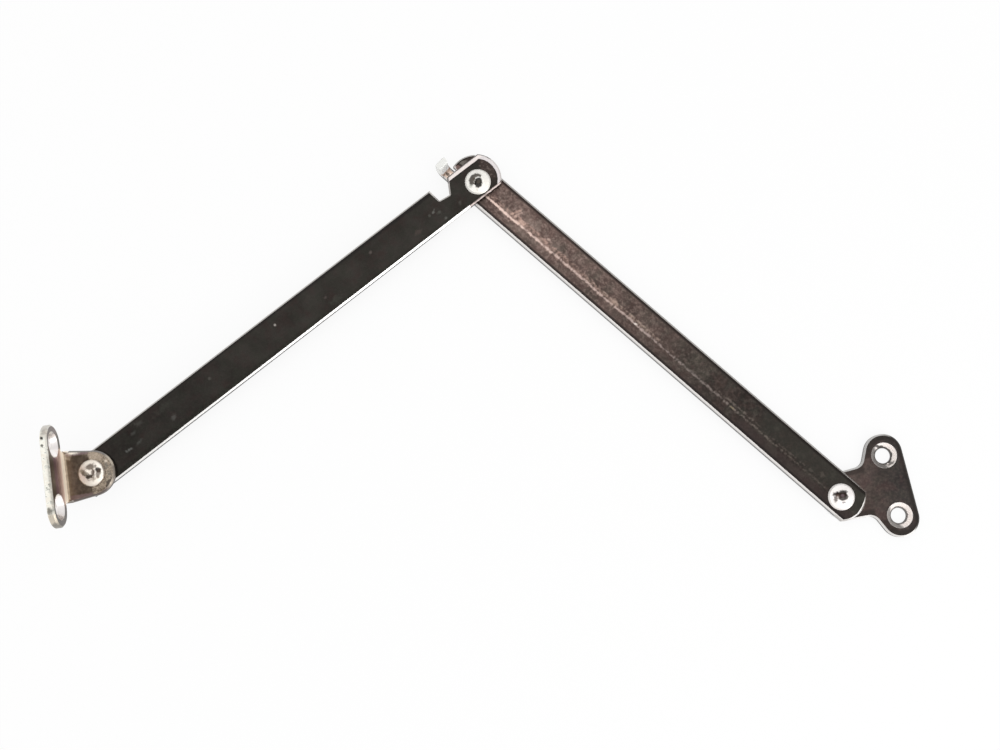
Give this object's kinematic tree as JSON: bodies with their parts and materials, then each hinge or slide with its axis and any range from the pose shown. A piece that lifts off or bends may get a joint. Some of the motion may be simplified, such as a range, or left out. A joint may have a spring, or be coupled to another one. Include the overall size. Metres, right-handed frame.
{
  "type": "folding flap stay",
  "caption": "Folding flap stay for a cabinet: two flat arms with a riveted elbow and stop lug, a flat side plate and a bent flap bracket.",
  "frame": {"origin": "middle of the side plate's two screw holes, on the back of the plate", "axes": "+Z out of the front of the plate, along all three pivots. +Y along the line of the two screws. +X from the pivot of the plate towards its screws, so the arms and the flap bracket lie towards -X"},
  "size_m": [0.2317, 0.133, 0.0202],
  "materials": {
    "plate_steel": "dark nickel plate over pressed steel, brown-black face and bright edges",
    "stop_arm_steel": "dark nickel plate, brown mottled face with a long scuff and bright edges",
    "notched_arm_steel": "dark nickel plate, near-black face and bright edges",
    "bracket_steel": "nickel plate, brown and champagne mottled",
    "rivet_steel": "bright nickel plate, set cold"
  },
  "bodies": {
    "plate": {"side_plate": "plate_steel", "plate_rivet": "rivet_steel"},
    "stop_arm": {"stop_arm": "stop_arm_steel"},
    "notched_arm": {"notched_arm": "notched_arm_steel", "elbow_rivet": "rivet_steel"},
    "bracket": {"flap_bracket": "bracket_steel", "bracket_rivet": "rivet_steel"}
  },
  "joints": [
    {"name": "plate_hinge", "type": "hinge", "parent": "plate", "child": "stop_arm", "pos_m": [-0.01525, 0, 0.0031], "axis": [0, 0, 1], "continuous": true},
    {"name": "elbow_hinge", "type": "hinge", "parent": "stop_arm", "child": "notched_arm", "pos_m": [-0.09422, 0.10949, 0.0031], "axis": [0, 0, 1], "range_deg": [-39.8, 96.4]},
    {"name": "bracket_hinge", "type": "hinge", "parent": "notched_arm", "child": "bracket", "pos_m": [-0.21617, 0.05159, 0.0052], "axis": [0, 0, 1], "continuous": true}
  ]
}
